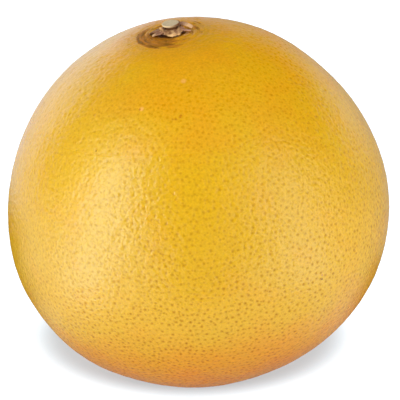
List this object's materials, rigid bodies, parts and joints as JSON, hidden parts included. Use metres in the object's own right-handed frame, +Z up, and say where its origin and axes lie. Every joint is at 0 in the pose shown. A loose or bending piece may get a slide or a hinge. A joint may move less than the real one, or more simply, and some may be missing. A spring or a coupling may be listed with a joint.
{
  "type": "grapefruit",
  "caption": "Whole round yellow grapefruit with pored rind, dried calyx and clipped stalk end, resting on a small flat spot on its underside.",
  "frame": {"origin": "on the surface that the fruit rests on, under the middle of the fruit", "axes": "+Z up; -Y towards the side that the picture shows; +X to the right as seen from that side, with the stem end leaning towards -X and a little towards -Y"},
  "size_m": [0.1, 0.0988, 0.0987],
  "materials": {
    "rind": "waxy, half gloss, finely pored",
    "dried_calyx": "dry, matt, torn edges",
    "cut_stalk": "weathered cut wood, matt"
  },
  "bodies": {
    "root": {"fruit": "rind", "calyx": "dried_calyx", "stem_stub": "cut_stalk"}
  },
  "joints": []
}
